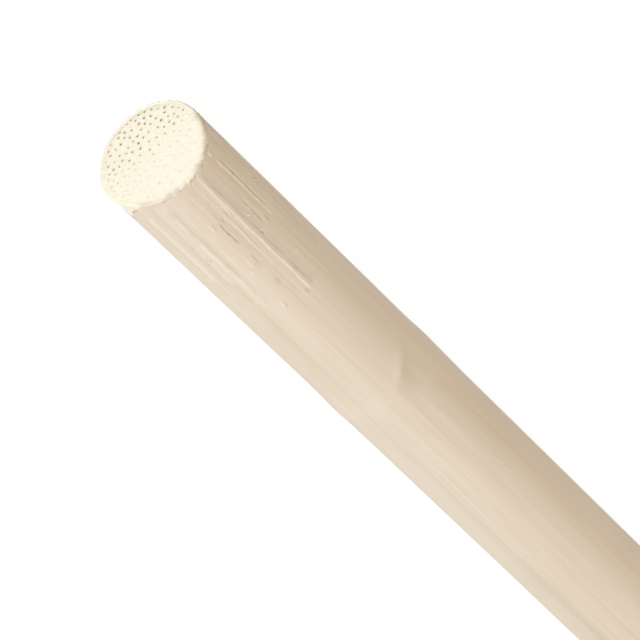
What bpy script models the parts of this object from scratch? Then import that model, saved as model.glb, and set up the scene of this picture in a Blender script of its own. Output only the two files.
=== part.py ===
# Rattan cane: a peeled, sanded length of rattan stem, cut square at both ends.
# It lies along X with its underside on z = 0, and it grew towards +X.
# The origin is under the middle of the cane. Lengths are in metres.

import math
import random

import bmesh
import bpy
from mathutils import Matrix, Vector

# Driving dimensions
LENGTH = 0.400
DIAMETER = 0.016
BOW = 0.0012                    # how far the stem bends sideways towards its far end
SIDES = 48
RING_SPACING = 0.012

LOBE_HEIGHT = 0.00004           # the section is a little out of round
NODE_STATIONS = (0.065, 0.292)  # growth nodes, measured from the -X end
NODE_SWELLING = 0.00014
NODE_HALF_WIDTH = 0.004
NODE_SLANT = 0.0015             # how far a node's ring leans along the stem

FLAT_DEPTH = 0.00018            # worn strip along the underside, which the cane rests on

RIM_WIDTH = 0.00045             # rounded, torn edge of a cut
RIM_DEPTH = 0.00022
RIM_TEAR = 0.00006
LIP_ANGLE = math.radians(185)   # where the last fibres were pushed outwards: the -Y side
LIP_SPREAD = math.radians(26)
LIP_HEIGHT = 0.00024
LIP_LENGTH = 0.0018

PORE_COUNT = 158                # open vessels on a cut, closer together near the rim
PORE_RADIUS = 0.00021
PORE_SIZES = (0.8, 1.1)
PORE_DEPTH = 0.0010
PORE_SIDES = 6
PORE_GAP_MIDDLE = 0.00097
PORE_GAP_RIM = 0.00076
PORE_MARGIN = 0.00080           # from a pore's centre to the outside of the cane
PORE_TRIES = 60000
PORE_OVERSHOOT = 0.0002         # how far a pore's cutter starts outside the face

RATTAN_COLOUR = (0.742, 0.638, 0.503, 1.0)
RATTAN_ROUGHNESS = 0.55

# Worked out from them
RADIUS = DIAMETER / 2
START = -LENGTH / 2
AXIS_HEIGHT = RADIUS - FLAT_DEPTH


def clear_scene():
    for item in list(bpy.data.objects):
        bpy.data.objects.remove(item, do_unlink=True)


def add_collection(name):
    collection = bpy.data.collections.new(name)
    bpy.context.scene.collection.children.link(collection)
    return collection


def axis_offset(x):
    """Sideways place of the stem's axis: straight at the -X end, then bending slowly away."""
    along = (x - START) / LENGTH
    return BOW * (0.5 - along ** 2)


def stem_radius(x, angle):
    """Radius of the peeled stem: faint wandering lobes, and a low swelling at each node."""
    lobes = math.cos(2 * angle + 4 * x) + 0.6 * math.cos(3 * angle - 9 * x)
    radius = RADIUS + LOBE_HEIGHT * lobes
    for index, station in enumerate(NODE_STATIONS):
        middle = START + station + NODE_SLANT * math.cos(angle + 2.1 * index)
        radius += NODE_SWELLING * math.exp(-((x - middle) / NODE_HALF_WIDTH) ** 2)
    return radius


def stem_point(x, angle, inset=0.0):
    """A point on the stem's surface, with the worn strip below kept flat."""
    radius = stem_radius(x, angle) - inset
    height = max(radius * math.sin(angle), -AXIS_HEIGHT)
    return Vector((x, axis_offset(x) + radius * math.cos(angle), AXIS_HEIGHT + height))


def ring_stations():
    """Places along the stem that get a ring of points: evenly spaced, and closer at the nodes."""
    steps = round(LENGTH / RING_SPACING)
    stations = {START + LENGTH * step / steps for step in range(1, steps)}
    for station in NODE_STATIONS:
        near = START + station
        stations = {x for x in stations if abs(x - near) > 2.2 * NODE_HALF_WIDTH}
        stations |= {near + NODE_HALF_WIDTH * k for k in (-2, -1, -0.4, 0.4, 1, 2)}
    stations |= {START + LIP_LENGTH, START + LENGTH - LIP_LENGTH}
    return sorted(stations)


def rim_point(x, angle):
    """A point on the outside edge of a cut: torn unevenly, with a lip where the fibres gave way."""
    tear = math.sin(7 * angle + 1.0) + math.sin(13 * angle) + math.sin(19 * angle + 2.0)
    depth = RIM_DEPTH + RIM_TEAR * tear
    from_lip = angle - LIP_ANGLE if x < 0 else angle - LIP_ANGLE - math.pi
    lip = LIP_HEIGHT * math.exp(2 * (math.cos(from_lip) - 1) / LIP_SPREAD ** 2)
    return stem_point(x - math.copysign(depth, x), angle, -lip)


def build_stem(collection):
    """A cylinder divided into rings, each point of which is then put on the stem's surface."""
    mesh = bpy.data.meshes.new("rattan_cane")
    cane = bmesh.new()
    bmesh.ops.create_cone(cane, cap_ends=True, segments=SIDES, radius1=RADIUS, radius2=RADIUS,
                          depth=LENGTH, matrix=Matrix.Rotation(math.pi / 2, 4, "Y"))
    for station in ring_stations():
        bmesh.ops.bisect_plane(cane, geom=cane.verts[:] + cane.edges[:] + cane.faces[:],
                               plane_co=(station, 0, 0), plane_no=(1, 0, 0))
    caps = [face for face in cane.faces if len(face.verts) == SIDES]
    bmesh.ops.inset_region(cane, faces=caps, thickness=RIM_WIDTH, use_even_offset=True)
    insides = {vertex for face in caps for vertex in face.verts}
    for vertex in cane.verts:
        x, angle = vertex.co.x, math.atan2(vertex.co.z, vertex.co.y) % math.tau
        if vertex in insides:
            vertex.co = stem_point(x, angle, RIM_WIDTH)
        elif abs(x) > LENGTH / 2 - LIP_LENGTH / 2:
            vertex.co = rim_point(x, angle)
        else:
            vertex.co = stem_point(x, angle)
    cane.to_mesh(mesh)
    cane.free()
    stem = bpy.data.objects.new("rattan_cane", mesh)
    collection.objects.link(stem)
    return stem


def pore_places(seed):
    """Centres of the open vessels on a cut: each new one keeps its distance from the others."""
    draw = random.Random(seed)
    reach = RADIUS - PORE_MARGIN
    places = []
    for _ in range(PORE_TRIES):
        if len(places) == PORE_COUNT:
            break
        radius = reach * math.sqrt(draw.random())
        angle = math.tau * draw.random()
        gap = PORE_GAP_MIDDLE + (PORE_GAP_RIM - PORE_GAP_MIDDLE) * (radius / reach) ** 2
        here = Vector((radius * math.cos(angle), radius * math.sin(angle)))
        if all((here - other).length > gap for other in places):
            places.append(here)
    return places


def build_pore_cutters(name, end, seed, collection):
    """Slim cones that open the vessels of one cut. Each starts a little outside the face."""
    mesh = bpy.data.meshes.new(name)
    cones = bmesh.new()
    inwards = -math.copysign(1, end)
    depth = PORE_DEPTH + PORE_OVERSHOOT
    mouth = PORE_RADIUS * depth / PORE_DEPTH
    turn = Matrix.Rotation(inwards * math.pi / 2, 4, "Y")
    draw = random.Random(seed + 1)
    for place in pore_places(seed):
        size = draw.uniform(*PORE_SIZES)
        middle = Vector((end + inwards * (depth / 2 - PORE_OVERSHOOT),
                         axis_offset(end) + place.x, AXIS_HEIGHT + place.y))
        spin = Matrix.Rotation(draw.uniform(0, math.tau), 4, "Z")
        bmesh.ops.create_cone(cones, cap_ends=True, segments=PORE_SIDES, radius1=mouth * size,
                              radius2=0, depth=depth,
                              matrix=Matrix.Translation(middle) @ turn @ spin)
    cones.to_mesh(mesh)
    cones.free()
    cutters = bpy.data.objects.new(name, mesh)
    cutters.hide_render = True
    cutters.display_type = "WIRE"
    collection.objects.link(cutters)
    return cutters


def cut(stem, cutters):
    modifier = stem.modifiers.new(cutters.name, "BOOLEAN")
    modifier.operation = "DIFFERENCE"
    modifier.solver = "EXACT"
    modifier.object = cutters


def rattan_material():
    """Peeled rattan: pale straw-coloured wood, sanded and left without varnish."""
    material = bpy.data.materials.new("peeled_rattan")
    material.use_nodes = True
    shader = material.node_tree.nodes["Principled BSDF"]
    shader.inputs["Base Color"].default_value = RATTAN_COLOUR
    shader.inputs["Roughness"].default_value = RATTAN_ROUGHNESS
    shader.inputs["Metallic"].default_value = 0.0
    material.diffuse_color = RATTAN_COLOUR
    return material


def main():
    clear_scene()
    parts = add_collection("rattan_cane")
    cutters = add_collection("cutters")
    stem = build_stem(parts)
    stem.data.materials.append(rattan_material())
    stem.data.shade_smooth()
    stem.data.set_sharp_from_angle(angle=math.radians(35))
    cut(stem, build_pore_cutters("pores_start", START, 11, cutters))
    cut(stem, build_pore_cutters("pores_end", START + LENGTH, 23, cutters))


main()
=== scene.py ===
# Rattan cane: the looks of one peeled, sanded length of rattan, sawn through at both ends.
# Metres. The cane lies along X with its underside on z = 0, and the near cut faces -X.

import math

import bpy
import numpy as np
from mathutils import Matrix, Vector
from mathutils.geometry import delaunay_2d_cdt


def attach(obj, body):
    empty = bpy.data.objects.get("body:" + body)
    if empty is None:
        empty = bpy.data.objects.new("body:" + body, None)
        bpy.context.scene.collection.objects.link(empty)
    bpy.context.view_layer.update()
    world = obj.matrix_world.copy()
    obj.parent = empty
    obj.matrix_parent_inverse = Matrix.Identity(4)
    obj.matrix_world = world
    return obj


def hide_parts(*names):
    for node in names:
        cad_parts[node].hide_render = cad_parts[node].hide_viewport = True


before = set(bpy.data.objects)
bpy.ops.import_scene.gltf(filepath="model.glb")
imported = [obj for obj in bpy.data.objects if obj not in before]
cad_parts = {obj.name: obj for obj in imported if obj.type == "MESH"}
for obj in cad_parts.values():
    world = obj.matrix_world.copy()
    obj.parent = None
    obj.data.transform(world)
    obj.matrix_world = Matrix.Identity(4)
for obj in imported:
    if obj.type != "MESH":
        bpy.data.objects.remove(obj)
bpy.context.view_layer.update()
print("frame loaded:", ", ".join(sorted(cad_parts)))

mm = 0.001
turn = 2 * math.pi
sharpAngle = math.radians(42)      # an edge that turns by more than this is drawn sharp


# an sRGB hex colour as linear red, green, blue and 1: each channel c becomes
# ((c + 0.055) / 1.055) to the power 2.4, or c / 12.92 where it is very dark
def linearColour(hexCode):
    channels = [int(hexCode[i:i + 2], 16) / 255 for i in (0, 2, 4)]
    return [((c + 0.055) / 1.055) ** 2.4 if c > 0.04045 else c / 12.92 for c in channels] + [1.0]


# adds one shader node: settings are its properties, inputs are values or the sockets to link from
def addNode(tree, kind, settings=None, inputs=None):
    node = tree.nodes.new("ShaderNode" + kind)
    for name, value in (settings or {}).items():
        setattr(node, name, value)
    for name, value in (inputs or {}).items():
        if isinstance(value, bpy.types.NodeSocket):
            tree.links.new(value, node.inputs[name])
        else:
            node.inputs[name].default_value = value
    return node


# a new object in the scene
def addObject(name, data):
    made = bpy.data.objects.new(name, data)
    bpy.context.scene.collection.objects.link(made)
    return made


# 0 below t = 0 and 1 above t = 1, and between them 3 t squared less 2 t cubed
def ease(t):
    t = np.clip(t, 0.0, 1.0)
    return t * t * (3 - 2 * t)


# 0 up to first, 1 past last, and eased between them
def easeBetween(value, first, last):
    return ease((value - first) / (last - first))


# an angle brought between minus half a turn and half a turn
def wrapped(angle):
    return (angle + math.pi) % turn - math.pi


# distance from the axis, and angle round it, of offsets (y, z)
def polar(offset):
    return np.hypot(offset[:, 0], offset[:, 1]), np.arctan2(offset[:, 1], offset[:, 0])


# a value for each angle: random heights round the stem, joined by straight lines
def raggedRing(angle, count, draw):
    heights = draw.random(count)
    places = np.arange(count + 1) * turn / count
    return np.interp(angle % turn, places, np.append(heights, heights[0]))


# the same named values as the solid has; angles run from +Y (0) over the top (90) to -Y (180)
stem = {
    "length": 0.400, "radius": 0.008, "bow": 0.0012, "flatDepth": 0.00018,
    # lobes of the section: how many round it, radians a metre that they wander, and share
    "lobeHeight": 0.00004, "lobes": [(2, 4, 1.0), (3, -9, 0.6)],
    "nodePlaces": (0.065, 0.292), "nodeSwelling": 0.00014,
    "nodeHalfWidth": 0.004, "nodeSlant": 0.0015, "nodeTurned": 2.1,
    # points round a ring, and how much closer together they are on top than below
    "around": 400, "crowding": 0.35,
    # from, to and spacing of the rings, in mm from the near cut
    "rings": [(0.15, 0.9, 0.25), (0.9, 6.0, 0.3), (6.0, 34.0, 0.45), (34.0, 54.0, 3.0),
              (54.0, 68.0, 0.8), (68.0, 284.0, 10.0), (284.0, 300.0, 1.6), (300.0, 374.0, 6.2),
              (374.0, 393.0, 1.6), (393.0, 399.1, 0.5), (399.1, 399.85, 0.25)],
}


# the axis is straight at the near cut and bends sideways with the square of the way along
def axisOffset(along):
    return stem["bow"] * (0.5 - (along / stem["length"]) ** 2)


# radius plus two faint lobes that wander round, plus a bell-shaped swelling at each node
def stemRadius(along, angle):
    x = along - stem["length"] / 2
    radius = stem["radius"]
    for waves, wander, share in stem["lobes"]:
        radius = radius + stem["lobeHeight"] * share * np.cos(waves * angle + wander * x)
    for index, place in enumerate(stem["nodePlaces"]):
        middle = place + stem["nodeSlant"] * np.cos(angle + stem["nodeTurned"] * index)
        bell = np.exp(-((along - middle) / stem["nodeHalfWidth"]) ** 2)
        radius = radius + stem["nodeSwelling"] * bell
    return radius


# a point of the surface: radius times (cos, sin) of the angle round the axis, kept above the floor
def stemPoint(along, angle, radius):
    axisHeight = stem["radius"] - stem["flatDepth"]
    height = np.maximum(radius * np.sin(angle), -axisHeight)
    return np.stack([along - stem["length"] / 2, axisOffset(along) + radius * np.cos(angle),
                     axisHeight + height], axis=-1)


# fibres that stand out of the skin or are torn out of it, one row a line: angle in degrees, from
# and to in mm, half width and height in mm, tone, slant in degrees a mm. A tone above 0 is a pale
# dry fibre and painted light on its ridge, and one below 0 a groove that holds dust and painted
# shade.
skinLines = [
    (145.8, 3.2, 22.5, 0.24, 0.050, 0.64, 0),
    (123.0, 0.9, 3.6, 0.14, 0.045, 0.60, 0),
    (123.0, 4.8, 9.2, 0.14, 0.045, 0.65, 0),
    (123.2, 11.6, 20.5, 0.18, 0.060, 0.95, 0),
    (122.6, 19.5, 30.5, 0.20, 0.030, 0.40, 0),
    (119.0, 3.0, 23.0, 0.17, -0.032, -0.38, 0),
    (133.0, 11.9, 13.1, 0.18, -0.040, -0.35, 0),
    (128.5, 14.6, 17.2, 0.18, -0.050, -0.45, 0),
    (131.0, 16.6, 23.4, 0.20, 0.030, 0.35, 0),
    (102.8, 8.8, 11.4, 0.12, 0.050, 0.55, 0),
    (100.2, 9.2, 11.4, 0.12, -0.050, -0.45, 0),
    (101.5, 18.6, 22.4, 0.13, 0.045, 0.65, 0),
    (98.0, 21.0, 22.8, 0.14, -0.060, -0.80, 0),
    (107.0, 21.2, 23.5, 0.18, 0.045, 0.55, 0),
    (107.5, 30.4, 32.4, 0.15, 0.050, 0.60, 1.5),
    (104.8, 30.8, 32.6, 0.13, -0.045, -0.45, 1.5),
    (95.0, 25.6, 28.2, 0.26, -0.020, -0.45, 0),
    (94.5, 9.8, 16.6, 0.11, -0.070, -1.10, 0),
    (94.5, 18.6, 22.6, 0.11, -0.045, -0.70, 0),
    (89.0, 9.8, 11.2, 0.11, -0.060, -0.80, 0),
    (84.6, 3.0, 10.4, 0.12, 0.015, 0.16, 0),
    (84.6, 9.6, 22.4, 0.11, 0.018, 0.17, 0),
    (83.0, 9.8, 20.4, 0.10, -0.030, -0.35, 0),
    (84.0, 7.0, 8.6, 0.14, -0.050, -0.45, 0),
    (79.8, 7.0, 11.0, 0.17, 0.050, 0.60, 0),
    (82.5, 9.2, 10.8, 0.12, -0.050, -0.60, 0),
    (77.1, 0.8, 12.0, 0.20, 0.080, 0.92, 0),
    (77.0, 11.0, 33.4, 0.20, 0.092, 1.02, 0),
    (71.9, 1.0, 33.0, 0.25, -0.050, -0.50, 0),
    (81.5, 31.6, 33.4, 0.18, -0.065, -0.80, 0),
    (67.0, 13.4, 14.3, 0.18, -0.050, -0.70, 0),
    (70.0, 17.3, 18.8, 0.15, -0.055, -0.80, 0),
    (68.3, 17.4, 19.2, 0.15, 0.040, 0.60, 0),
    (58.0, 26.1, 27.4, 0.18, 0.045, 0.60, 1.5),
    (62.0, 10.6, 17.4, 0.13, -0.040, -0.45, 0),
    (58.5, 10.6, 18.4, 0.16, 0.040, 0.50, 0),
    (56.0, 16.6, 19.4, 0.16, -0.045, -0.50, 0),
    (48.8, 2.6, 19.4, 0.16, 0.085, 1.10, 0),
    (45.8, 3.6, 14.4, 0.12, -0.040, -0.30, 0),
    (45.8, 7.0, 8.2, 0.20, -0.050, -0.60, 0),
    (49.0, 0.7, 2.2, 0.20, 0.080, 0.90, 0),
    (43.5, 5.0, 19.6, 0.14, 0.040, 0.60, 0),
    (30.5, 10.6, 13.2, 0.18, 0.040, 0.60, -1.0),
    (29.0, 12.8, 14.8, 0.17, -0.080, -1.00, -0.5),
    # a wide dark band on the +Y side beside the near cut: painted shade along the stem's edge there
    (8.0, -1.5, 8.0, 0.90, -0.010, -0.50, 0),
    (31.0, -1.0, 7.0, 0.50, 0.010, -0.15, 0),
    # faint wide bands, most of them darker and without relief
    (68.5, 0.5, 33.0, 0.70, 0, -0.20, 0),
    (53.8, 0.8, 18.0, 0.30, 0, -0.12, 0),
    (33.0, 0.5, 32.0, 0.70, 0, -0.13, 0),
    (18.0, -1.5, 26.0, 1.10, 0, -0.12, 0),
    (89.5, 0.8, 20.0, 0.60, 0, -0.14, 0),
    (86.4, 5.0, 31.0, 0.30, 0, -0.20, 0),
    (117.0, 0.8, 30.0, 0.45, 0, -0.12, 0),
    (128.0, 24.0, 33.5, 0.25, 0.015, 0.30, 0),
    (134.0, -20.0, 420.0, 0.80, 0, -0.17, 0),
    (145.0, 25.0, 440.0, 3.50, 0, -0.10, 0),
    (140.0, 82.0, 440.0, 4.00, 0, -0.12, 0),
    (140.0, 104.0, 440.0, 4.00, 0, -0.14, 0),
    (42.0, 88.0, 440.0, 3.00, 0, 0.20, 0),
]

roughness = {
    "seed": 5,
    "nearLines": 120, "nearReach": 34.0,     # short lines behind the near cut
    "farLines": 90, "farReach": 18.0,        # and behind the far one
    # the power that crowds the short ones to a cut, the share of the reach in which they start,
    # and their least length in mm
    "crowding": 1.6, "startShare": 0.8, "shortest": 2.0,
    # least strength, half widths in mm, and the most height in mm and tone
    "weakest": 0.25, "widths": (0.10, 0.30), "height": 0.026, "tone": 0.26,
    # faint lines along the whole stem; they start up to longBefore mm before the near cut
    "longLines": 90, "longBefore": 40, "longLengths": (50, 170),
    "longWidths": (0.2, 0.7), "longHeight": 0.006, "longTone": 0.13,
}


# rows like the ones above, drawn at random: most of them start near the cut, and most are faint
def randomLines(draw, count, reach, fromFar):
    begin = reach * draw.random(count) ** roughness["crowding"] * roughness["startShare"]
    stop = begin + roughness["shortest"] + (reach - begin) * draw.random(count)
    side = np.where(draw.random(count) < 0.5, 1.0, -1.0)
    weakest = roughness["weakest"]
    strength = (weakest + (1 - weakest) * draw.random(count) ** 2) * side
    total = stem["length"] / mm
    return np.stack([360 * draw.random(count),
                     total - stop if fromFar else begin, total - begin if fromFar else stop,
                     draw.uniform(*roughness["widths"], count), roughness["height"] * strength,
                     roughness["tone"] * strength, np.zeros(count)], axis=-1)


# long faint rows: starts and lengths anywhere along the stem
def longLines(draw, count):
    begin = stem["length"] / mm * draw.random(count) - roughness["longBefore"]
    strength = draw.uniform(-1, 1, count)
    return np.stack([360 * draw.random(count), begin,
                     begin + draw.uniform(*roughness["longLengths"], count),
                     draw.uniform(*roughness["longWidths"], count),
                     roughness["longHeight"] * strength, roughness["longTone"] * strength,
                     np.zeros(count)], axis=-1)


# how a line runs, in mm: one shorter than "short" fades out over shortEnd or, if that is less,
# over a share of its length; a longer one fades out over longEnd and varies more slowly
lineRun = {
    "short": 45, "shortEnd": 1.2, "endShare": 0.4, "longEnd": 15.0, "longPace": 0.1,
    "steady": 0.78, "waves": (2.1, 0.93), "sway": 0.05, "swayWave": 0.8,
}


# relief and tone at every point: each line is a bell across its width, exp of minus (distance
# from its middle / half width) squared. It eases in and out over the ends of its length, and two
# sines along it, multiplied, break it up.
def lineRelief(along, angle, rows, draw):
    relief, tone = np.zeros_like(along), np.zeros_like(along)
    for middle, begin, stop, width, height, shade, slant in rows:
        way, length = along / mm - begin, stop - begin
        fade, pace = lineRun["longEnd"], lineRun["longPace"]
        if length < lineRun["short"]:
            fade, pace = min(lineRun["shortEnd"], lineRun["endShare"] * length), 1.0
        window = ease(way / fade) * ease((stop - along / mm) / fade)
        first, second, sway = turn * draw.random(3)
        quick, slow = lineRun["waves"]
        wave = np.sin(quick * pace * way + first) * np.sin(slow * pace * way + second)
        window = window * (lineRun["steady"] + (1 - lineRun["steady"]) * wave)
        across = stem["radius"] / mm * wrapped(angle - np.radians(middle + slant * way))
        across = across + lineRun["sway"] * np.sin(lineRun["swayWave"] * pace * way + sway)
        bell = window * np.exp(-(across / width) ** 2)
        relief += height * mm * bell
        tone += shade * bell
    return relief, tone


scars = {
    "front": -0.00675, "lean": 0.0063, "leanFrom": math.radians(73.5),
    "strongAt": math.radians(73.5), "spread": math.radians(14), "elsewhere": 0.05,
    "turned": 2.6,                 # how far the next node's scar is turned round the stem
    "depth": 0.00003, "tone": 0.36,
    # mm from the front: where the hollow is deepest, where it starts to come back and where it
    # ends, and the middle and half width of the strip before it
    "drop": 0.7, "back": (1.2, 8.2), "stripAt": -1.2, "stripWidth": 1.1,
    "stripRise": 0.4, "stripPale": 0.7,
}


# relief and tone where the leaf sheath grew from a node: a slanting front that drops at once and
# comes back slowly, and a raised, paler strip just before it. The tone is painted shade in the
# hollow behind the front and painted light on the strip.
def nodeScars(along, angle):
    relief, tone = np.zeros_like(along), np.zeros_like(along)
    for index, place in enumerate(stem["nodePlaces"]):
        angleHere = angle - scars["turned"] * index
        front = place + scars["front"] + scars["lean"] * np.sin(angleHere - scars["leanFrom"])
        bell = np.exp(-(wrapped(angleHere - scars["strongAt"]) / scars["spread"]) ** 2)
        strength = scars["elsewhere"] + (1 - scars["elsewhere"]) * bell
        past = (along - front) / mm
        hollow = strength * ease(past / scars["drop"]) * (1 - easeBetween(past, *scars["back"]))
        strip = strength * np.exp(-((past - scars["stripAt"]) / scars["stripWidth"]) ** 2)
        relief += scars["depth"] * (scars["stripRise"] * strip - hollow)
        tone += scars["tone"] * (scars["stripPale"] * strip - hollow)
    return relief, tone


# the two cuts: a flat face, a torn rim, and a strip torn off beside each
cut = {
    "seed": 31,
    "edgeInset": 0.00022,          # the flat face ends this far inside the skin
    "edgeDepth": 0.00008, "toothDepth": 0.00085,
    "bundles": 112,                # fibre bundles round the rim, each torn to its own depth
    "gaps": (0.42, 0.58), "toothLengths": 83, "shortestTooth": 0.35,
    "slowSteps": 17, "slowShare": 0.35,
    # how far the near rim's teeth reach along the skin, mm, by the angle in degrees; below 0 the
    # skin curls in over the rim instead
    "nearProfile": [(26, 0.10), (34, -0.05), (42.5, -0.15), (48, 0.05), (52.5, 0.20),
                    (55.5, -0.25), (58, -0.50), (59.5, -0.30), (60, 0.40), (61.5, 0.40),
                    (63, 0.05), (64, 0.10), (67, 0.50), (71, 0.60), (75.5, 0.50), (77, 0.10),
                    (79, 0.20), (80, 0.35), (82.5, 0.05), (85, -0.05), (86, 0.50), (88, 0.50),
                    (89.5, 0.05), (91, -0.10), (94, 0.05), (96, 0.30), (98, 0.05), (99.5, 0.0),
                    (105.5, 0.05), (109, 0.0), (112, 0.15), (114.5, 0.0), (116.5, 0.05),
                    (121.5, 0.15), (123.5, 0.0), (128, 0.0), (133, 0.05), (138.5, 0.20),
                    (142, 0.50), (145, 0.85), (149, 0.95)],
    # where the profile sets in and ends, and how much of the drawn teeth it takes away
    "profileFrom": (24, 28), "profileTo": (148, 152), "profileShare": 0.85,
    "curlStep": 0.00008,           # curling in by this much turns one more row to skin
    "rows": 5, "toothFlare": 0.00010, "flareSteps": 80, "flareWidth": 0.00017,
    "follow": 0.0012,              # the rings follow the teeth for about this far
    "reliefEnds": 0.0003,          # this far inside the skin
    "lipHeight": 0.00024, "lipSpread": math.radians(26), "lipLength": 0.0011,
    "lipAngles": (math.radians(185), math.radians(5)),
    "crescent": 0.00026, "crescentAngle": math.radians(278), "crescentSpread": math.radians(34),
    "crescentFrom": 0.0067, "crescentWidth": 0.0011,
    "poreDepth": 0.0010, "tipWithin": 0.00002,
    "weld": 1e-9,                  # points of a face nearer than this are one
    # points on a face: their spacing, and as shares of it the spacing of their rows, how far
    # each is moved by chance, and how far they keep from the rim and from a vessel's mouth
    "grain": 0.00024, "grainRows": 0.866, "grainMoved": 0.35, "grainRim": 0.6, "grainMouth": 0.5,
    "grainDepth": 0.00002, "rimGrain": 0.3,
    # share of the vessels' brown all over a rim, and painted shade added towards the skin on its
    # upper side, where the rim's torn fibres would shade each other
    "rimBase": 0.05, "rimSelfShade": 0.13, "rimSteps": 61, "rimUpper": (-0.7, 0.3),
    # and on a face, most of it low down, and in patches beside its rim
    "faceDust": 0.055, "faceDustOver": (-0.625, 0.625),
    "borderPatches": 0.14, "borderFrom": 0.0066, "borderTo": 0.0075, "borderSteps": 43,
    # the rind's own brown beside the rim, by the angle in degrees, and where it sets in; from about
    #     # 100 to 130 degrees it is also painted shade, darkening the rim where it faces the light
    "edgeShade": [(-14, 0.0), (-4, 0.10), (8, 0.85), (20, 0.90), (36, 0.75), (56, 0.70),
                  (61, 0.35), (65, 0.55), (72, 0.25), (82, 0.10), (90, 0.30), (106, 0.50),
                  (116, 0.42), (126, 0.32), (138, 0.32), (152, 0.0)],
    "shadeFrom": 0.0072, "shadeTo": 0.0081, "shadeMost": 0.52,
    "shadeRagged": 0.0006, "shadeSteps": 80,
}

# the strip torn off beside a cut: its reach at the near and the far cut, and its sides, between
# which it fades out, in spreads from the middle of the lip
tornOff = {
    "reach": (0.0049, 0.0022), "spread": math.radians(30), "depth": 0.00011,
    "steps": 90, "least": 0.75, "sides": (1.17, 1.33), "softEdge": 0.0005,
    # a painted shadow line round the strip: its half width, how far past the reach it lies, how
    # dark it is, and the spread from the lip within which it is drawn
    "line": 0.0002, "lineAt": 0.0001, "shadowLineTone": 1.3, "lineWithin": 0.9,
    "calm": 0.7,                   # how much of the fibre relief is gone in it
    "sinksOver": 0.0012,           # it reaches its depth this far from the cut
    "skinWithin": 0.0001,          # only points this near the skin are torn
}

# the paler torn skin beyond the teeth, and the shadow at its edge
fringe = {
    "reach": 0.00045, "steps": 97, "bare": 0.65, "softEdge": 0.00025,
    "shadow": 0.75, "shadowAt": 0.00020, "shadowWidth": 0.00016, "shadowSteps": 71,
}

# how frayed the skin is, in patches: all of it up to the first distance from a cut, and none past
# the second, but never less than everywhere
fraying = {
    "near": (0.018, 0.040), "far": (0.008, 0.020), "everywhere": 0.26,
    "steps": 23, "least": 0.45,
}


# how far the teeth of a rim reach along the stem at each angle: a slow ragged ring, plus one
# steepened into teeth and gaps and multiplied by another
def toothReach(angle, draw):
    slow = raggedRing(angle, cut["slowSteps"], draw)
    teeth = easeBetween(raggedRing(angle, cut["bundles"], draw), *cut["gaps"])
    shortest, slowShare = cut["shortestTooth"], cut["slowShare"]
    length = shortest + (1 - shortest) * raggedRing(angle, cut["toothLengths"], draw)
    reach = slowShare * slow + (1 - slowShare) * teeth * length
    return cut["edgeDepth"] + cut["toothDepth"] * reach


# share of brown beside the rim of a cut: a share for each angle, eased in with the radius from
# a ragged line
def edgeShade(radius, angle):
    places, shares = np.array(cut["edgeShade"]).T
    strength = np.interp(np.degrees(wrapped(angle)), places, shares)
    ragged = raggedRing(angle, cut["shadeSteps"], np.random.default_rng(cut["seed"] + 2)) - 0.5
    share = easeBetween(radius + cut["shadeRagged"] * ragged, cut["shadeFrom"], cut["shadeTo"])
    return np.minimum(strength * share, cut["shadeMost"])


# 1 inside the strip torn off beside a cut, 0 outside, and a bell over its border, where a painted
# shadow line goes: its reach is a ragged bell round the lip
def tornStrip(fromCut, angle, end, draw):
    ragged = tornOff["least"] + 0.5 * raggedRing(angle, tornOff["steps"], draw)
    across = wrapped(angle - cut["lipAngles"][end]) / tornOff["spread"]
    reach = tornOff["reach"][end] * ragged * np.exp(-across ** 2)
    reach = reach * (1 - easeBetween(np.abs(across), *tornOff["sides"]))
    border = np.exp(-((reach - fromCut + tornOff["lineAt"]) / tornOff["line"]) ** 2)
    return ease((reach - fromCut) / tornOff["softEdge"] + 0.5), border


steps = np.arange(stem["around"]) * turn / stem["around"]
angles = steps + stem["crowding"] * np.cos(steps)
draw = np.random.default_rng(cut["seed"])
nearTeeth, farTeeth = toothReach(angles, draw), toothReach(angles, draw)
# over the top of the near cut, the measured profile takes the place of most of the drawn one
profileAngles, profileReach = np.array(cut["nearProfile"]).T
inDegrees = np.degrees(angles)
onTop = (easeBetween(inDegrees, *cut["profileFrom"])
         * (1 - easeBetween(inDegrees, *cut["profileTo"])))
profile = np.interp(inDegrees, profileAngles, profileReach) * mm
nearTeeth = (nearTeeth * (1 - cut["profileShare"] * onTop)
             + onTop * (cut["edgeDepth"] + np.maximum(profile, 0)))
curled = np.stack([np.where(onTop > 0.5, -profile, 0) / cut["curlStep"],
                   np.zeros(stem["around"])])
flare = cut["toothFlare"] * np.stack([raggedRing(angles, cut["flareSteps"], draw)
                                      for end in (0, 1)])

ringPlaces = [0.0]
for first, last, step in stem["rings"]:
    ringPlaces += list(np.linspace(first, last, round((last - first) / step), endpoint=False))
ringPlaces = np.array(ringPlaces[1:] + [stem["rings"][-1][1]]) * mm

# side: rings by angles; near a cut the rings follow its teeth, less and less with the distance
along, angle = np.meshgrid(ringPlaces, angles, indexing="ij")
fromNear, fromFar = along.copy(), stem["length"] - along
along = along + (nearTeeth - cut["edgeDepth"]) * np.exp(-fromNear / cut["follow"])
along = along - (farTeeth - cut["edgeDepth"]) * np.exp(-fromFar / cut["follow"])

# rim: a quarter of an ellipse from the flat face (share 0) round to the skin (share 1)
share = (np.arange(cut["rows"] + 1) / cut["rows"] * math.pi / 2)[:, None]
rimInset = cut["edgeInset"] * (1 - np.sin(share)) * np.ones_like(angles)
nearRim = nearTeeth * (1 - np.cos(share))
farRim = stem["length"] - (farTeeth * (1 - np.cos(share)))[::-1]
along = np.concatenate([nearRim, along, farRim])
inset = np.concatenate([rimInset, np.zeros_like(angle), rimInset[::-1]])
angle = np.broadcast_to(angles, along.shape)
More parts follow.
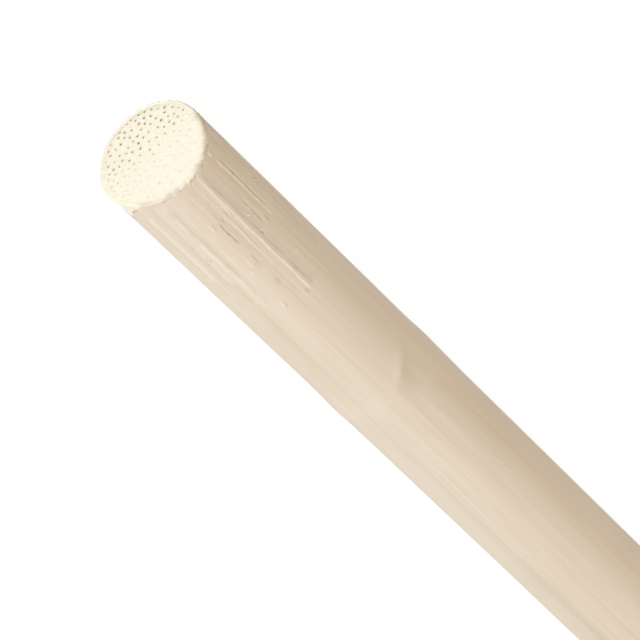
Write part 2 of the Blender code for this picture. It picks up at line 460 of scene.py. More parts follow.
# the teeth stand a little proud of the skin, and the rim follows them
rise = np.sin(share) ** 3
lifted = np.concatenate([rise * flare[0],
                         np.exp(-(fromNear / cut["flareWidth"]) ** 2) * flare[0]
                         + np.exp(-(fromFar / cut["flareWidth"]) ** 2) * flare[1],
                         (rise * flare[1])[::-1]])

draw = np.random.default_rng(roughness["seed"])
rows = np.concatenate([np.array(skinLines),
                       randomLines(draw, roughness["nearLines"], roughness["nearReach"], False),
                       randomLines(draw, roughness["farLines"], roughness["farReach"], True),
                       longLines(draw, roughness["longLines"])])
relief, tone = lineRelief(along, angle, rows, draw)
scarRelief, scarShading = nodeScars(along, angle)
relief, tone = relief + scarRelief, tone + scarShading

# how frayed the skin is: most behind a cut, in ragged patches, and hardly at all further on
patches = fraying["least"] + (1 - fraying["least"]) * raggedRing(angles, fraying["steps"], draw)
frayed = 1 - np.minimum(easeBetween(along, *fraying["near"]),
                        easeBetween(stem["length"] - along, *fraying["far"]))
frayed = np.maximum(frayed * patches, fraying["everywhere"])

radius = stemRadius(along, angle) - inset
bare = np.zeros_like(along)
for end, fromCut in enumerate((along, stem["length"] - along)):
    torn, edge = tornStrip(fromCut, angle, end, draw)
    onSkin = inset < tornOff["skinWithin"]
    torn, edge = torn * onSkin, edge * onSkin
    # the lip is a bell round its angle and along the stem
    offLip = wrapped(angle - cut["lipAngles"][end])
    lip = cut["lipHeight"] * np.exp(2 * (np.cos(offLip) - 1) / cut["lipSpread"] ** 2)
    radius = radius + lip * np.exp(-(fromCut / cut["lipLength"]) ** 2)
    # the torn strip lies lower than the skin, has less relief and a painted shadow line round it,
    # where
    #     # the lifted edge of the skin beyond it would shade it
    relief = relief * (1 - tornOff["calm"] * torn)
    relief = relief - tornOff["depth"] * torn * ease(fromCut / tornOff["sinksOver"])
    tone = tone * (1 - tornOff["calm"] * torn)
    tone = tone - tornOff["shadowLineTone"] * edge * (np.abs(offLip) < tornOff["lineWithin"])
    bare = np.maximum(bare, torn)
# beyond the teeth the skin is torn pale for a little way, with a shadow at the edge of that
for fromTeeth in (along - nearTeeth, stem["length"] - farTeeth - along):
    reach = fringe["reach"] * raggedRing(angles, fringe["steps"], draw) ** 2
    pale = fringe["bare"] * ease((reach - fromTeeth) / fringe["softEdge"] + 0.5)
    bare = np.maximum(bare, pale * (inset == 0))
    shadow = np.exp(-((fromTeeth - reach - fringe["shadowAt"]) / fringe["shadowWidth"]) ** 2)
    shadow = shadow * raggedRing(angles, fringe["shadowSteps"], draw) ** 2
    tone = tone - fringe["shadow"] * shadow * (bare < 0.5)
fadeToFace = 1 - ease(inset / cut["reliefEnds"])
radius = radius + relief * fadeToFace + lifted

sidePoints = stemPoint(along, angle, radius)
ringCount, around = along.shape
print("side:", ringCount, "rings of", around)


# the open vessels of a cut face
vessels = {
    "sides": 10, "radius": 0.00020, "sizes": (0.74, 1.06), "oval": 0.14,
    "uneven": 0.1,                 # a mouth's points lie up to half this off its shape
    "rimCount": 72, "rimRadius": 0.00010, "rimPlace": (0.00052, 0.00078),   # inside the skin
    "rimMoved": 0.6,               # how far a rim vessel is moved by chance, in steps round
    "apart": 0.00050,              # a rim vessel this near a large one isn't drawn
    # narrowing, share of the depth and darkness of each ring below the mouth: the vessels' brown,
    #     # darker with the depth as painted shade in the hole
    "levels": [(0.92, 0.25, 0.70), (0.80, 0.60, 0.90), (0.55, 1.0, 1.0)],
    "dustDepth": 0.000015,         # depth of a vessel that the saw's dust has filled
    "openDepth": 0.00055,          # and of one that it left open
    "fullRadius": 0.00015,         # a narrower vessel is less deep
    # heights, in radii over the axis, over which the dust fills them at the near and the far cut
    "filledOver": [(-0.58, 0.37), (0.6, 1.55)],
    "leastOpened": 0.45,           # the least share of that by chance
    "filledMore": (0.0, -0.625), "moreDust": 0.35,   # towards -Y the dust fills more of them
    "rimOpened": 0.6, "outerDust": 0.2, "outer": (0.80, 0.86),   # and so it does near the skin
    "mouthTone": (0.02, 0.30), "deepBrownAndShade": (0.05, 0.78),   # filled, and more if open
    # places on the near cut, y and z in mm from its middle, where the dust fell out of a vessel
    # again, and how open it is
    "cleared": [(1.96, 1.65, 0.15), (2.86, 1.03, 0.24), (3.5, 1.95, 0.22), (1.3, 5.68, 0.22),
                (-2.31, 4.33, 0.20), (-0.4, 1.3, 0.18), (-3.2, 1.85, 0.18), (-4.5, 1.45, 0.18),
                (-4.3, 5.0, 0.13), (-0.5, 2.75, 0.13), (4.95, 0.2, 0.26), (5.3, -0.65, 0.28)],
    "clearedReach": 0.00050,
}


# vessel centres as the solid has them, to a thousandth of a mm: the tip of every pit lies
# poreDepth inside the cut
def vesselCentres(end):
    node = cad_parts["rattan_cane"]
    points = np.empty(len(node.data.vertices) * 3)
    node.data.vertices.foreach_get("co", points)
    points = points.reshape(-1, 3)
    tip = stem["length"] / 2 - cut["poreDepth"]
    tips = points[np.abs(points[:, 0] - (-tip, tip)[end]) < cut["tipWithin"]][:, 1:]
    return np.unique(np.round(tips, 6), axis=0)


# small vessels just inside the skin: even steps round the stem, each moved by chance, and left
# out where a large vessel is too near
def rimVessels(middle, centres, draw):
    count = vessels["rimCount"]
    place = (np.arange(count) + vessels["rimMoved"] * draw.random(count)) * turn / count
    inside = draw.uniform(*vessels["rimPlace"], count)
    radius = stem["radius"] - inside
    found = middle + np.stack([radius * np.cos(place), radius * np.sin(place)], axis=-1)
    gap = np.linalg.norm(found[:, None] - centres[None], axis=-1).min(axis=1)
    return found[gap > vessels["apart"]]


# how far a cut face lies inside its plane at (y, z) from the axis: a rounded crescent at the
# bottom of the rim, and the roughness that the saw left
def faceDepth(offset, rough):
    distance, place = polar(offset)
    window = np.exp(-(wrapped(place - cut["crescentAngle"]) / cut["crescentSpread"]) ** 2)
    past = np.clip((distance - cut["crescentFrom"]) / cut["crescentWidth"], 0, None)
    return cut["crescent"] * window * past ** 2 + cut["grainDepth"] * rough


# points of a jittered honeycomb over a cut, kept off its rim and off the vessels' mouths
def honeycomb(middle, centres, size, draw):
    step = cut["grain"]
    reach = stem["radius"] - cut["edgeInset"] - cut["grainRim"] * step
    gridY, gridZ = np.meshgrid(np.arange(-reach, reach, step),
                               np.arange(-reach, reach, step * cut["grainRows"]))
    gridY = gridY + (np.arange(len(gridY)) % 2 * 0.5 * step)[:, None]
    found = np.stack([gridY.ravel(), gridZ.ravel()], axis=-1)
    found += step * cut["grainMoved"] * (draw.random(found.shape) - 0.5)
    found = found[polar(found)[0] < reach] + middle
    apart = np.linalg.norm(found[:, None] - centres[None], axis=-1) - size
    return found[apart.min(axis=1) > cut["grainMouth"] * step]


# one cut: triangles between the rim ring, the vessels' mouths and the honeycomb, and each vessel
# as rings that narrow towards its floor
def cutFace(end, rimPoints, draw):
    middle = np.array([axisOffset(stem["length"] * end), stem["radius"] - stem["flatDepth"]])
    large = vesselCentres(end)
    small = rimVessels(middle, large, draw)
    centres = np.concatenate([large, small])
    count, sides = len(centres), vessels["sides"]
    size = draw.uniform(*vessels["sizes"], count) * np.repeat(
        [vessels["radius"], vessels["rimRadius"]], [len(large), len(small)])
    around = np.arange(sides) * turn / sides
    lean = turn * draw.random((count, 1))
    shape = 1 + vessels["oval"] * np.cos(2 * (around - lean))
    shape = shape + vessels["uneven"] * (draw.random((count, sides)) - 0.5)
    spokes = np.stack([np.cos(around), np.sin(around)], axis=-1)
    mouths = centres[:, None] + (size[:, None] * shape)[..., None] * spokes
    filling = honeycomb(middle, centres, size, draw)

    flat = np.concatenate([rimPoints[:, 1:], mouths.reshape(-1, 2), filling])
    rimLoop = np.arange(len(rimPoints))
    mouthIds = len(rimPoints) + np.arange(count * sides).reshape(count, sides)
    edges = np.concatenate([
        np.stack([rimLoop, np.roll(rimLoop, -1)], axis=-1),
        np.stack([mouthIds, np.roll(mouthIds, -1, axis=1)], axis=-1).reshape(-1, 2)])
    # 1 keeps only the triangles inside the rim
    made = delaunay_2d_cdt([Vector(p) for p in flat.tolist()], edges.tolist(), [], 1, cut["weld"])
    triangles = np.array([ids[0] for ids in made[3]])[np.array(made[2])]
    # a triangle between three points of one mouth would close it
    mouthOf = np.full(len(flat), -1)
    mouthOf[mouthIds.ravel()] = np.repeat(np.arange(count), sides)
    owner = mouthOf[triangles]
    closes = (owner[:, 0] >= 0) & (owner[:, 0] == owner[:, 1]) & (owner[:, 1] == owner[:, 2])
    triangles = triangles[~closes]

    # vessels of the near cut are open low down, and higher up the saw's dust fills them
    offset = centres - middle
    sideways, upwards = offset.T / stem["radius"]
    distance, place = polar(offset)
    opened = 1 - easeBetween(upwards, *vessels["filledOver"][end])
    least = vessels["leastOpened"]
    opened = opened * (least + (1 - least) * draw.random(count))
    opened *= 1 - vessels["moreDust"] * easeBetween(sideways, *vessels["filledMore"])
    if end == 0:
        seen = np.array(vessels["cleared"])
        away = np.linalg.norm(offset[:, None] - seen[None, :, :2] * mm, axis=-1)
        nearest = away == away.min(axis=0)
        shows = nearest * (away < vessels["clearedReach"]) * seen[:, 2]
        opened = np.maximum(opened, shows.max(axis=1))
    opened[len(large):] *= vessels["rimOpened"]
    outer = easeBetween(distance / stem["radius"], *vessels["outer"])
    opened = opened * (1 - vessels["outerDust"] * outer)
    rough = draw.random(len(flat))
    rough[rimLoop] = cut["rimGrain"]
    depth = faceDepth(flat - middle, rough)
    inwards = (1, -1)[end]
    plane = -inwards * stem["length"] / 2
    full = vessels["dustDepth"] + vessels["openDepth"] * opened
    full = full * np.minimum(1, size / vessels["fullRadius"])
    mouthShade = edgeShade(distance, place)
    mouthTone, deepBrownAndShade = [filled + more * opened
                           for filled, more in (vessels["mouthTone"], vessels["deepBrownAndShade"])]
    mouthTone = mouthTone + mouthShade
    inside = filling - middle
    distance, place = polar(inside)
    height = inside[:, 1] / stem["radius"]
    dust = cut["faceDust"] * (1 - easeBetween(height, *cut["faceDustOver"]))
    patchy = raggedRing(place, cut["borderSteps"], draw) ** 2
    border = easeBetween(distance, cut["borderFrom"], cut["borderTo"])
    dust = dust + cut["borderPatches"] * patchy * border + edgeShade(distance, place)
    tone = np.concatenate([np.zeros(len(rimPoints)), np.repeat(mouthTone, sides), dust])
    walls, wallTone = [], []
    # the walls and floor of each vessel darken with the depth: painted shade over the vessels'
    # brown
    for narrowing, share, dark in vessels["levels"]:
        ring = centres[:, None] + narrowing * (mouths - centres[:, None])
        x = plane + inwards * (depth[mouthIds] + share * full[:, None])
        walls.append(np.concatenate([x[..., None], ring], axis=-1))
        deep = dark * deepBrownAndShade + mouthShade
        wallTone.append(np.repeat(deep[:, None], sides, axis=1))
    floor = np.column_stack([plane + inwards * (depth[mouthIds].mean(axis=1) + full), centres])
    return {"points": np.column_stack([plane + inwards * depth, flat]), "triangles": triangles,
            "tone": tone, "mouths": mouthIds, "walls": np.array(walls),
            "wallTone": np.array(wallTone), "floor": floor, "floorTone": deepBrownAndShade + mouthShade}


# puts points, faces of three or four corners, and attributes into a new mesh object
def addPiece(name, points, faces, attributes, materials, materialIds):
    mesh = bpy.data.meshes.new(name)
    corners = np.concatenate([part.ravel() for part in faces])
    sizes = np.concatenate([np.full(len(part), part.shape[1]) for part in faces])
    mesh.vertices.add(len(points))
    mesh.loops.add(len(corners))
    mesh.polygons.add(len(sizes))
    mesh.vertices.foreach_set("co", points.astype(np.float32).ravel())
    mesh.loops.foreach_set("vertex_index", corners.astype(np.int32))
    mesh.polygons.foreach_set("loop_start", (np.cumsum(sizes) - sizes).astype(np.int32))
    mesh.polygons.foreach_set("material_index", materialIds.astype(np.int32))
    mesh.update(calc_edges=True)
    for label, values in attributes.items():
        layer = mesh.attributes.new(label, "FLOAT", "POINT")
        layer.data.foreach_set("value", values.astype(np.float32))
    for material in materials:
        mesh.materials.append(material)
    mesh.shade_smooth()
    mesh.set_sharp_from_angle(angle=sharpAngle)
    return addObject(name, mesh)


peeled = {
    "straw": "e0d2bc", "deep": "ddccb4", "pale": "ebdfcc",
    "dust": "a58a64", "dry": "f4eadb", "bare": "f4ecd8",
    "roughness": 0.50, "frayedRoughness": 0.66,
    # scale along and across the stem, one over the size in metres, and detail
    "bands": ((8, 290, 290), 1.0),            # 3.5 mm wide, 120 mm long
    "fibres": ((25, 2000, 2000), 2.0),        # 0.5 mm wide, 40 mm long
    "threads": ((150, 4200, 4200), 2.0),      # 0.24 mm wide, 7 mm long
    "lines": ((50, 6200, 6200), 1.0),         # 0.16 mm wide, 20 mm long
    "threadBump": 0.30, "threadHeight": 0.00006, "lineShare": 0.14,
}


# Peeled rattan: the skin scraped and sanded off, no varnish. It gives the eye a dry matt straw
# colour with fine fibre streaks along the stem, paler where a fibre is lifted; the fibre tone also
# holds painted light and shade that follow the relief.
def makePeeledRattan():
    material = bpy.data.materials.new("peeled_rattan")
    material.use_nodes = True
    tree = material.node_tree
    shader = tree.nodes["Principled BSDF"]
    place = addNode(tree, "TexCoord").outputs["Object"]
    noises = []
    for scale, detail in (peeled["bands"], peeled["fibres"], peeled["threads"], peeled["lines"]):
        drawnOut = addNode(tree, "Mapping", None, {"Vector": place, "Scale": scale})
        noises.append(addNode(tree, "TexNoise", None,
                              {"Vector": drawnOut.outputs[0], "Scale": 1.0,
                               "Detail": detail}).outputs["Fac"])
    bands, fibres, threads, lines = noises
    tone, bare, frayed = [
        addNode(tree, "Attribute", {"attribute_name": name}).outputs["Fac"]
        for name in ("fibreToneAndShade", "bare", "frayed")]

    # laid over the straw one by one: what decides the share, where that is nothing and where it
    # is full, the most of it, the colour, and what the share is multiplied by
    layers = [
        (bands, 0.35, 0.65, 1.0, "deep", None),
        (fibres, 0.30, 0.70, 0.30, "pale", None),
        (lines, 0.51, 0.75, 0.10, "dust", None),
        (lines, 0.49, 0.27, 0.10, "dry", None),
        (threads, 0.54, 0.74, 0.12, "dust", frayed),
        (threads, 0.46, 0.28, 0.16, "dry", frayed),
        # the fibres' tone: their own dust and dry colour, and painted shade and light that follow
        # their relief
        (tone, 0.0, -1.0, 0.75, "dust", None),
        (tone, 0.0, 1.0, 0.80, "dry", None),
        (bare, 0.0, 1.0, 1.0, "bare", None),
    ]
    colour = linearColour(peeled["straw"])
    for decides, nothing, full, most, hexName, where in layers:
        share = addNode(tree, "MapRange", None,
                        {"Value": decides, "From Min": nothing, "From Max": full, "To Max": most})
        if where:
            share = addNode(tree, "Math", {"operation": "MULTIPLY"},
                            {0: share.outputs[0], 1: where})
        colour = addNode(tree, "Mix", {"data_type": "RGBA"},
                         {"Factor": share.outputs[0], "A": colour,
                          "B": linearColour(peeled[hexName])}).outputs["Result"]
    tree.links.new(colour, shader.inputs["Base Color"])
    rough = addNode(tree, "MapRange", None,
                    {"Value": frayed, "To Min": peeled["roughness"],
                     "To Max": peeled["frayedRoughness"]})
    tree.links.new(rough.outputs[0], shader.inputs["Roughness"])
    # the lines stand out by about a hundredth of a mm everywhere, and the threads by a few
    # hundredths where the skin is frayed
    frayedThreads = addNode(tree, "Math", {"operation": "MULTIPLY"},
                            {0: threads, 1: frayed})
    height = addNode(tree, "Math", {"operation": "MULTIPLY_ADD"},
                     {0: lines, 1: peeled["lineShare"], 2: frayedThreads.outputs[0]})
    bump = addNode(tree, "Bump", None,
                   {"Height": height.outputs[0], "Strength": peeled["threadBump"],
                    "Distance": peeled["threadHeight"]})
    tree.links.new(bump.outputs[0], shader.inputs["Normal"])
    return material


endGrain = {
    "cream": "f6ecd6", "warm": "f3e5c9", "vessel": "b39a70", "roughness": 0.7,
    "mottles": (700, 1400, 1400), "detail": 3.0,   # 0.7 mm across, as wide as a vascular bundle
    "warmFrom": 0.35, "warmTo": 0.70, "bump": 0.2, "height": 0.00008,
}


# Sawn rattan end grain: ground tissue cut across, dry and almost white, with brown vessels. It
# gives the eye a chalky cream face, a little mottled, with dark dots where a vessel is open.
def makeEndGrain():
    material = bpy.data.materials.new("sawn_end_grain")
    material.use_nodes = True
    tree = material.node_tree
    shader = tree.nodes["Principled BSDF"]
    place = addNode(tree, "TexCoord").outputs["Object"]
    spread = addNode(tree, "Mapping", None,
                     {"Vector": place, "Scale": endGrain["mottles"]})
    mottle = addNode(tree, "TexNoise", None,
                     {"Vector": spread.outputs[0], "Scale": 1.0, "Detail": endGrain["detail"]})
    factor = addNode(tree, "MapRange", None,
                     {"Value": mottle.outputs["Fac"], "From Min": endGrain["warmFrom"],
                      "From Max": endGrain["warmTo"]})
    ground = addNode(tree, "Mix", {"data_type": "RGBA"},
                     {"Factor": factor.outputs[0], "A": linearColour(endGrain["cream"]),
                      "B": linearColour(endGrain["warm"])})
    tone = addNode(tree, "Attribute", {"attribute_name": "vesselTone"})
    vessel = addNode(tree, "Mix", {"data_type": "RGBA"},
                     {"Factor": tone.outputs["Fac"], "A": ground.outputs["Result"],
                      "B": linearColour(endGrain["vessel"])})
    tree.links.new(vessel.outputs["Result"], shader.inputs["Base Color"])
    shader.inputs["Roughness"].default_value = endGrain["roughness"]
    bump = addNode(tree, "Bump", None,
                   {"Height": mottle.outputs["Fac"], "Strength": endGrain["bump"],
                    "Distance": endGrain["height"]})
    tree.links.new(bump.outputs[0], shader.inputs["Normal"])
    return material


# the stem is one closed piece: side, rims, faces and vessels
draw = np.random.default_rng(cut["seed"] + 1)
index = np.arange(ringCount * around).reshape(ringCount, around)
nextIndex = np.roll(index, -1, axis=1)
sideQuads = np.stack([index[:-1], nextIndex[:-1], nextIndex[1:], index[1:]], axis=-1)
# the rows of the rims are end grain, apart from those over which the skin curls in
rimRow = np.minimum(np.arange(ringCount - 1), ringCount - 2 - np.arange(ringCount - 1))
grainRows = cut["rows"] - np.clip(np.round(curled), 0, cut["rows"])
half = (np.arange(ringCount - 1) > ringCount / 2).astype(int)
onRim = rimRow[:, None] < grainRows[half]
parts = [sideQuads.reshape(-1, 4)]
slots = [onRim.astype(int).ravel()]
points = [sidePoints.reshape(-1, 3)]
# a little painted shade on the torn rims, for the shade their fuzzy fibres cast on each other: most
# of it where they are rounded off, and none underneath, where the rim already lies in shade
nearRimShade, farRimShade = [(0.5 + 0.5 * raggedRing(angles, cut["rimSteps"], draw))
                     * easeBetween(np.sin(angles), *cut["rimUpper"]) for end in (0, 1)]
rimShade = cut["rimBase"] + edgeShade(stem["radius"] - rimInset, angles)
rimTone = np.concatenate([
    rimShade + cut["rimSelfShade"] * np.sin(share) * nearRimShade,
    np.zeros((len(ringPlaces), around)),
    (rimShade + cut["rimSelfShade"] * np.sin(share) * farRimShade)[::-1]])
vesselTone = [rimTone.ravel()]
total = ringCount * around

for end, row in ((0, 0), (1, ringCount - 1)):
    rim = sidePoints[row]
    face = cutFace(end, rim, draw)
    # the rim ring is shared, so the face's own points start after it
    own = face["points"][around:]
    points[0] = points[0].copy()
    points[0][index[row]] = face["points"][:around]
    relabel = np.concatenate([index[row], total + np.arange(len(own))])
    triangles = relabel[face["triangles"]]
    corner = face["points"][face["triangles"]]
    normal = np.cross(corner[:, 1] - corner[:, 0], corner[:, 2] - corner[:, 0])[:, 0]
    wrongWay = normal > 0 if end == 0 else normal < 0
    triangles[wrongWay] = triangles[wrongWay][:, ::-1]
    parts.append(triangles)
    slots.append(np.ones(len(triangles)))
    points.append(own)
    vesselTone.append(face["tone"][around:])
    total += len(own)
    # the walls and floors of the vessels
    levels, count, sides = face["walls"].shape[:3]
    wallIds = total + np.arange(levels * count * sides).reshape(levels, count, sides)
    ids = np.concatenate([relabel[face["mouths"]][None], wallIds])
    nextIds = np.roll(ids, -1, axis=2)
    quads = np.stack([ids[:-1], nextIds[:-1], nextIds[1:], ids[1:]], axis=-1)
    points.append(face["walls"].reshape(-1, 3))
    vesselTone.append(face["wallTone"].ravel())
    total += wallIds.size
    floorIds = total + np.arange(count)
    fans = np.stack([ids[-1], nextIds[-1],
                     np.broadcast_to(floorIds[:, None], (count, sides))], axis=-1)
    points.append(face["floor"])
    vesselTone.append(face["floorTone"])
    total += count
    quads, fans = quads.reshape(-1, 4), fans.reshape(-1, 3)
    if end == 0:
        quads, fans = quads[:, ::-1], fans[:, ::-1]
    parts += [quads, fans]
    slots += [np.ones(len(quads)), np.ones(len(fans))]
    print("cut", end, ":", count, "vessels,", len(triangles), "triangles on the face")

points = np.concatenate(points)
onSide = total - ringCount * around
peeledRattan = makePeeledRattan()
rattan = addPiece("rattan_stem", points, parts,
                  {"fibreToneAndShade": np.append(tone.ravel(), np.zeros(onSide)),
                   "bare": np.append(bare.ravel(), np.zeros(onSide)),
                   "frayed": np.append(frayed.ravel(), np.zeros(onSide)),
                   "vesselTone": np.concatenate(vesselTone)},
                  [peeledRattan, makeEndGrain()], np.concatenate(slots))
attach(rattan, "root")
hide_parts("rattan_cane")
print("cane:", sum(len(p) * (p.shape[1] - 2) for p in parts), "triangles")

# splinters that the saw and the scraper lifted: each lies along the stem with its root sunk in
# the skin and its tip standing off it
#
# one row a splinter: angle in degrees, tip and root in mm from the near cut, width and lift in mm.
# Most tips point away from the cut, so that their backs catch the light.
splinterRows = [
    (50.6, 1.75, 1.0, 0.30, 0.28), (28.4, 2.8, 2.1, 0.20, 0.15), (49.9, 7.2, 6.3, 0.22, 0.18),
    (47.6, 10.7, 9.9, 0.20, 0.15), (30.0, 14.0, 13.2, 0.24, 0.20), (68.5, 14.1, 13.4, 0.22, 0.17),
    (70.4, 18.1, 17.1, 0.18, 0.13), (59.5, 26.9, 26.1, 0.24, 0.17), (107.6, 32.1, 30.6, 0.20, 0.11),
    (53.0, 4.6, 3.9, 0.18, 0.12), (50.2, 16.7, 15.9, 0.14, 0.09), (66.0, 16.5, 15.8, 0.13, 0.07),
    (79.6, 9.8, 8.7, 0.22, 0.15), (83.6, 8.1, 6.9, 0.20, 0.13), (77.0, 18.5, 17.6, 0.15, 0.10),
    (108.0, 23.1, 21.6, 0.18, 0.09), (127.8, 15.9, 15.1, 0.16, 0.08), (81.6, 7.4, 8.8, 0.24, 0.12),
    (85.4, 10.3, 8.8, 0.16, 0.10), (80.4, 11.2, 9.6, 0.18, 0.12), (87.0, 10.9, 10.0, 0.14, 0.10),
    (102.2, 11.2, 9.4, 0.15, 0.08), (95.6, 14.4, 13.6, 0.14, 0.08), (98.4, 22.5, 21.2, 0.16, 0.10),
    (62.4, 13.7, 12.5, 0.15, 0.09), (78.6, 12.6, 11.5, 0.18, 0.12), (124.2, 6.0, 4.7, 0.14, 0.08),
    (83.2, 0.4, 1.3, 0.26, 0.20), (117.0, 0.2, 1.0, 0.24, 0.18), (64.0, 0.3, 1.2, 0.20, 0.20),
]

fibres = {
    "seed": 17, "sides": 6, "thickness": 0.00004, "rootDepth": 0.00008,
    # drawn at random: how many, the furthest tip from the cut in mm, and the most lift in mm
    "rimNear": (48, 0.5, 0.26), "rimFar": (34, 0.5, 0.22), "skinNear": (20, 26.0, 0.08),
    "angles": (-60, 240),          # none on the underside
    "firstPlace": 0.03, "shortest": 0.4, "widths": (0.08, 0.24), "leastLift": 0.2,
    "tone": 0.6, "bare": 0.15, "frayed": 0.5,
    "lean": 0.00014,               # how far a tip bends sideways
    # place from the tip (0) to the root (1), and width there
    "stations": [(0.06, 0.45), (0.30, 0.90), (0.65, 1.00), (0.92, 0.55)],
}


# rows like the ones above at random: one end up to reach mm from the cut, and the other further
# in by the shortest length and up to 1 mm more; either of them is the tip
def randomSplinters(draw, count, reach, lift, fromFar):
    angle = draw.uniform(*fibres["angles"], count)
    tip = fibres["firstPlace"] + reach * draw.random(count) ** 1.5
    root = tip + fibres["shortest"] + draw.random(count) ** 2
    tip, root = np.where(draw.random(count) < 0.5, (tip, root), (root, tip))
    total = stem["length"] / mm
    least = fibres["leastLift"]
    return np.stack([angle, total - tip if fromFar else tip, total - root if fromFar else root,
                     draw.uniform(*fibres["widths"], count),
                     lift * (least + (1 - least) * draw.random(count) ** 2)], axis=-1)


# a closed sliver for each row: stations from tip to root by points round a lens-shaped section.
# Its height over the skin falls from the lift to minus the root's depth with the power 1.5, and
# its tip bends sideways with the power 2.
def splinterMesh(rows, draw):
    angle, tip, root, width, lift = [column[:, None, None] for column in np.array(rows).T]
    place, size = np.array([(0.0, 0.0)] + fibres["stations"] + [(1.0, 0.0)]).T
    place, size = place[None, :, None], size[None, :, None]
    bearing = np.arange(fibres["sides"]) * turn / fibres["sides"]
    along = (tip + (root - tip) * place) * mm
    height = (lift * mm + fibres["rootDepth"]) * (1 - place) ** 1.5 - fibres["rootDepth"]
    bend = fibres["lean"] * draw.standard_normal(angle.shape) * (1 - place) ** 2
    sideways = 0.5 * width * mm * size * np.cos(bearing) + bend
    outwards = height + fibres["thickness"] * size * np.sin(bearing)
    around = np.radians(angle) + sideways / stem["radius"]
    along = np.broadcast_to(along, around.shape)
    grid = stemPoint(along, around, stemRadius(along, around) + outwards)
    # slivers of the far cut run the other way, so their stations are turned round
    backwards = (tip > root).ravel()
    grid[backwards] = grid[backwards][:, ::-1]
    count, stations, sides = grid.shape[:3]
    poles = grid[:, (0, -1), 0]
    inner = grid[:, 1:-1].reshape(count, -1, 3)
    each = inner.shape[1] + 2
    ids = np.arange(count)[:, None, None] * each + np.arange(each - 2).reshape(stations - 2, sides)
    nextIds = np.roll(ids, -1, axis=2)
    quads = np.stack([ids[:, :-1], ids[:, 1:], nextIds[:, 1:], nextIds[:, :-1]], axis=-1)
    first = np.broadcast_to(np.arange(count)[:, None] * each + each - 2, (count, sides))
    startFan = np.stack([first, ids[:, 0], nextIds[:, 0]], axis=-1)
    endFan = np.stack([first + 1, nextIds[:, -1], ids[:, -1]], axis=-1)
    points = np.concatenate([inner, poles], axis=1).reshape(-1, 3)
    return points, [quads.reshape(-1, 4), startFan.reshape(-1, 3), endFan.reshape(-1, 3)]


draw = np.random.default_rng(fibres["seed"])
splinters = np.concatenate([np.array(splinterRows),
                            randomSplinters(draw, *fibres["rimNear"], False),
                            randomSplinters(draw, *fibres["rimFar"], True),
                            randomSplinters(draw, *fibres["skinNear"], False)])
splinterPoints, splinterFaces = splinterMesh(splinters, draw)
torn = addPiece("torn_fibres", splinterPoints, splinterFaces,
                {label: np.full(len(splinterPoints), fibres[key])
                 for label, key in (("fibreToneAndShade", "tone"), ("bare", "bare"), ("frayed", "frayed"))},
                [peeledRattan], np.zeros(sum(len(part) for part in splinterFaces)))
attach(torn, "root")
print("splinters:", len(splinters), "with", sum(len(p) * (p.shape[1] - 2) for p in splinterFaces),
      "triangles")


# the sun stands for a large soft box, low on the side of the near cut, and the world for the
# warm light that the rest of the room sends back
studio = {
    "floorHalf": 20.0, "floorDrop": 0.00005, "floorGlow": 0.965, "floorAlbedo": 0.05,
    "skyColour": "e7dbcf", "shadeColour": "c5bbae", "skyTilt": math.radians(30),
    "skyBand": 0.2,                # half width of the band in which the two halves meet
    "boxColour": "cce6ff", "boxStrength": 2.60, "boxFrom": (-0.79, -0.43, 0.435),
    "boxSoft": math.radians(46),
}


# a square sheet of white paper, bright enough to come out white, that sends no light to the cane
def makeFloor():
    half, low = studio["floorHalf"], -studio["floorDrop"]
    mesh = bpy.data.meshes.new("floor")
    corners = [(-half, -half, low), (half, -half, low), (half, half, low), (-half, half, low)]
    mesh.from_pydata(corners, [], [(0, 1, 2, 3)])
    material = bpy.data.materials.new("white_paper")
    material.use_nodes = True
    shader = material.node_tree.nodes["Principled BSDF"]
    shader.inputs["Base Color"].default_value = [studio["floorAlbedo"]] * 3 + [1.0]
    shader.inputs["Roughness"].default_value = 1.0
    shader.inputs["Specular IOR Level"].default_value = 0.0
    shader.inputs["Emission Color"].default_value = (1, 1, 1, 1)
    shader.inputs["Emission Strength"].default_value = studio["floorGlow"]
    mesh.materials.append(material)
    floor = addObject("floor", mesh)
    floor.visible_diffuse = False
    return floor


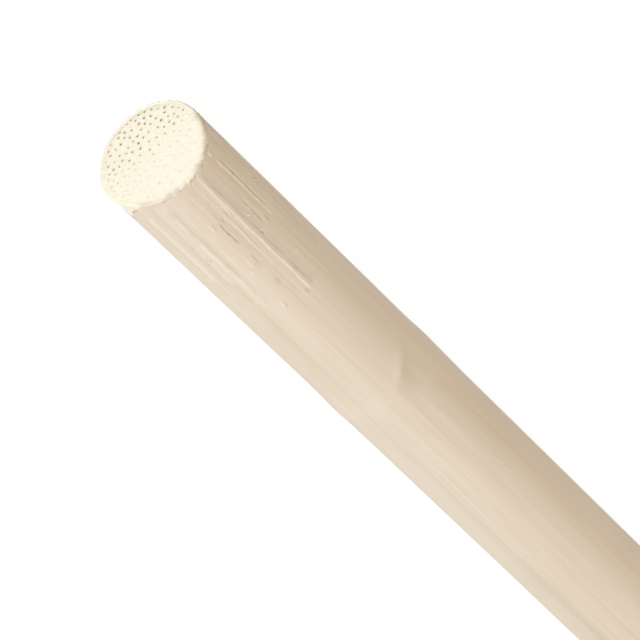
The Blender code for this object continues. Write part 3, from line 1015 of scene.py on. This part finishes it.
# a light half and a darker half that meet in a soft band, the light half towards -Y and up
def makeWorld():
    world = bpy.data.worlds.new("studio")
    world.use_nodes = True
    tree = world.node_tree
    direction = addNode(tree, "TexCoord").outputs["Generated"]
    tilted = addNode(tree, "Mapping", {"vector_type": "VECTOR"},
                     {"Vector": direction, "Rotation": (-studio["skyTilt"], 0, 0)})
    parted = addNode(tree, "SeparateXYZ", None, {"Vector": tilted.outputs[0]})
    share = addNode(tree, "MapRange", None,
                    {"Value": parted.outputs["Z"], "From Min": -studio["skyBand"],
                     "From Max": studio["skyBand"]}).outputs[0]
    blend = addNode(tree, "Mix", {"data_type": "RGBA"},
                    {"Factor": share, "A": linearColour(studio["shadeColour"]),
                     "B": linearColour(studio["skyColour"])})
    tree.links.new(blend.outputs["Result"], tree.nodes["Background"].inputs["Color"])
    return world


# a sun with the spread of a large soft box
def makeSoftBox():
    light = bpy.data.lights.new("soft_box", "SUN")
    light.color = linearColour(studio["boxColour"])[:3]
    light.energy = studio["boxStrength"]
    light.angle = studio["boxSoft"]
    softBox = addObject("soft_box", light)
    softBox.rotation_mode = "QUATERNION"
    softBox.rotation_quaternion = Vector(studio["boxFrom"]).to_track_quat("Z", "Y")
    softBox.location = studio["boxFrom"]


makeFloor()
bpy.context.scene.world = makeWorld()
makeSoftBox()

photoCamera = {
    "place": (-0.93195, 0.00604, 0.68227),
    "heading": math.radians(-0.4445), "downwards": math.radians(40.857),
    "roll": math.radians(134.459), "lens": 422.48, "sensor": 36, "clip": (0.05, 100),
}


# the camera looks along the heading, tilted down, and is then rolled about its line of sight
def makeCamera():
    heading, down, roll = (photoCamera[k] for k in ("heading", "downwards", "roll"))
    sight = Vector((math.cos(heading) * math.cos(down), math.sin(heading) * math.cos(down),
                    -math.sin(down)))
    right = sight.cross(Vector((0, 0, 1))).normalized()
    up = right.cross(sight)
    across = math.cos(roll) * right + math.sin(roll) * up
    upwards = -math.sin(roll) * right + math.cos(roll) * up
    turned = Matrix((across, upwards, -sight)).transposed().to_4x4()
    camera = addObject("camera", bpy.data.cameras.new("camera"))
    camera.data.lens = photoCamera["lens"]
    camera.data.sensor_width = photoCamera["sensor"]
    camera.data.clip_start, camera.data.clip_end = photoCamera["clip"]
    camera.matrix_world = Matrix.Translation(photoCamera["place"]) @ turned
    return camera


bpy.context.scene.camera = makeCamera()
bpy.context.scene.view_settings.view_transform = "Standard"
